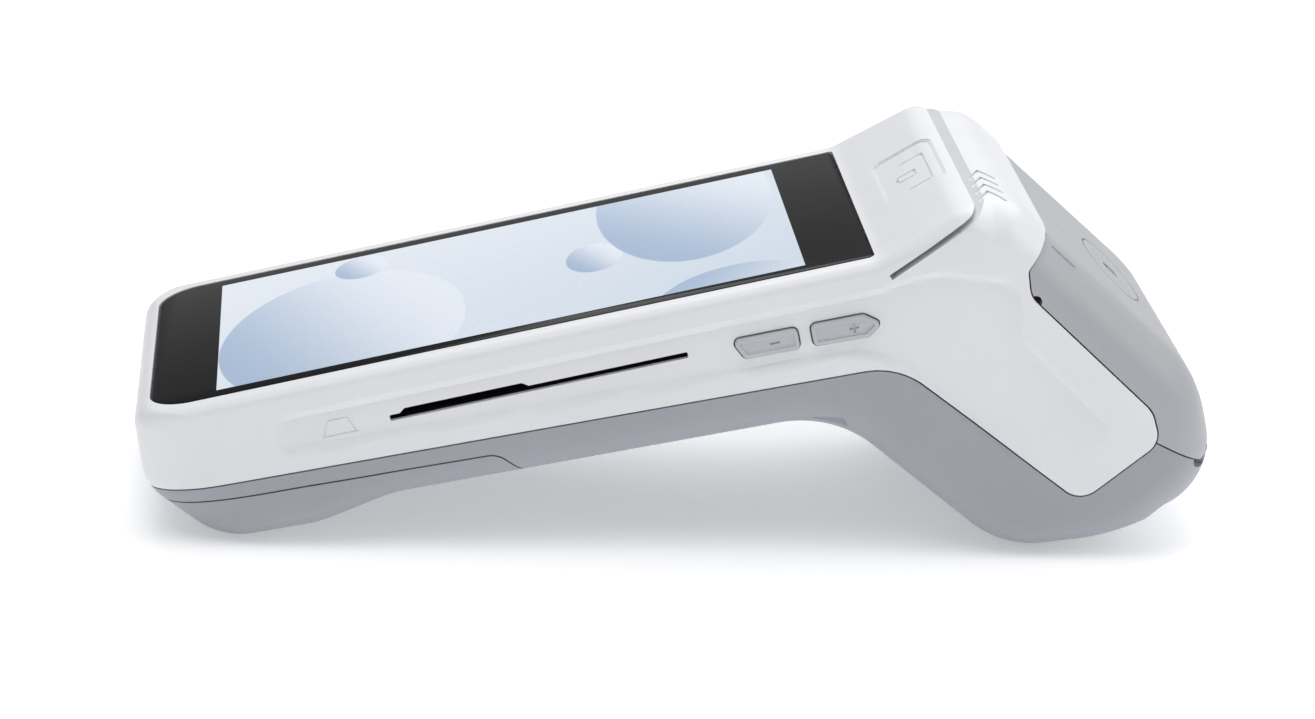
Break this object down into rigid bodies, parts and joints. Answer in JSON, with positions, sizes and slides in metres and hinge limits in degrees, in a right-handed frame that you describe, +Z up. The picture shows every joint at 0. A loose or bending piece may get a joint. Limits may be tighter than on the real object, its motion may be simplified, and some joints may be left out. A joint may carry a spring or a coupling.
{
  "type": "card payment terminal",
  "caption": "Handheld payment terminal: a tilted touch display, card slots, and a receipt printer under a hinged lid in the head.",
  "frame": {"origin": "on the table under the middle of the terminal's bounding box", "axes": "+X towards the printer head, +Y towards the far long side, +Z up; the display faces up and leans towards -X"},
  "size_m": [0.2025, 0.078, 0.0686],
  "materials": {
    "white_casing": "fine satin texture, white",
    "grey_casing": "fine matte texture, cool grey",
    "light_grey_casing": "fine matte texture, light grey",
    "key_plastic": "satin, silver grey",
    "display_glass": "gloss, black border round a lit display",
    "display_panel": "display module",
    "light_alloy": "die-cast, matte",
    "circuit_board": "green solder mask",
    "black_plastic": "moulded, matte black",
    "brass": "plated",
    "steel": "plain steel",
    "battery_wrap": "dark film over a pouch cell",
    "rubber": "matte",
    "nylon": "moulded, natural"
  },
  "bodies": {
    "root": {"front_housing": "white_casing", "rear_housing": "grey_casing", "hinge_pin_near": "steel", "hinge_pin_far": "steel", "housing_screw_1": "steel", "housing_screw_2": "steel", "housing_screw_3": "steel", "housing_screw_4": "steel", "housing_screw_5": "steel", "housing_screw_6": "steel", "rear_foot_near": "rubber", "rear_foot_far": "rubber", "display_glass": "display_glass", "lcd_panel": "display_panel", "mid_frame": "light_alloy", "main_board": "circuit_board", "card_reader": "black_plastic", "card_contacts": "brass", "shield_can_1": "steel", "shield_can_2": "steel", "coin_cell": "steel", "loudspeaker": "black_plastic", "usb_port": "steel", "side_key_board": "circuit_board", "power_key_board": "circuit_board", "battery_pack": "battery_wrap", "magstripe_spring": "steel", "print_head": "black_plastic", "heat_sink": "light_alloy", "head_spring_near": "steel", "head_spring_far": "steel", "printer_frame": "steel", "paper_bay": "black_plastic", "stepper_motor": "steel"},
    "battery_door": {"battery_cover": "grey_casing", "front_foot_near": "rubber", "front_foot_far": "rubber"},
    "paper_lid": {"paper_cover": "light_grey_casing", "tear_bar": "steel", "contactless_antenna": "brass"},
    "platen": {"platen_roller": "rubber", "platen_shaft": "steel", "platen_gear": "nylon"},
    "idler": {"idler_gear": "nylon"},
    "pinion": {"motor_pinion": "brass"},
    "volume_down_key": {"volume_down_button": "key_plastic"},
    "volume_up_key": {"volume_up_button": "key_plastic"},
    "power_key": {"power_button": "key_plastic"},
    "stripe_reader": {"magstripe_head": "steel"}
  },
  "joints": [
    {"name": "paper_cover_hinge", "type": "hinge", "parent": "root", "child": "paper_lid", "pos_m": [0.09887, 0, 0.01974], "axis": [0, 1, 0], "range_deg": [0, 85]},
    {"name": "platen_spin", "type": "hinge", "parent": "paper_lid", "child": "platen", "pos_m": [0.06424, 0, 0.05129], "axis": [0, 1, 0], "continuous": true},
    {"name": "idler_spin", "type": "hinge", "parent": "root", "child": "idler", "pos_m": [0.05305, 0, 0.04374], "axis": [0, 1, 0], "continuous": true},
    {"name": "pinion_spin", "type": "hinge", "parent": "root", "child": "pinion", "pos_m": [0.04351, 0, 0.03731], "axis": [0, 1, 0], "continuous": true},
    {"name": "volume_down_press", "type": "slide", "parent": "root", "child": "volume_down_key", "axis": [0, 1, 0], "range_m": [0, 0.0004], "stiffness_N_per_m": 1500, "springref_m": -0.0003},
    {"name": "volume_up_press", "type": "slide", "parent": "root", "child": "volume_up_key", "axis": [0, 1, 0], "range_m": [0, 0.0004], "stiffness_N_per_m": 1500, "springref_m": -0.0003},
    {"name": "power_press", "type": "slide", "parent": "root", "child": "power_key", "axis": [0, -1, 0], "range_m": [0, 0.0004], "stiffness_N_per_m": 1500, "springref_m": -0.0003},
    {"name": "battery_cover_slide", "type": "slide", "parent": "root", "child": "battery_door", "axis": [-0.9711, 0, -0.2385], "range_m": [0, 0.02]},
    {"name": "stripe_head_press", "type": "slide", "parent": "root", "child": "stripe_reader", "axis": [0.606, 0, -0.7955], "range_m": [0, 0.0003], "stiffness_N_per_m": 800, "springref_m": -0.0003}
  ],
  "couplings": [
    {"joint": "idler_spin", "follows": "platen_spin", "ratio": -0.58823},
    {"joint": "pinion_spin", "follows": "platen_spin", "ratio": 1.6667}
  ]
}
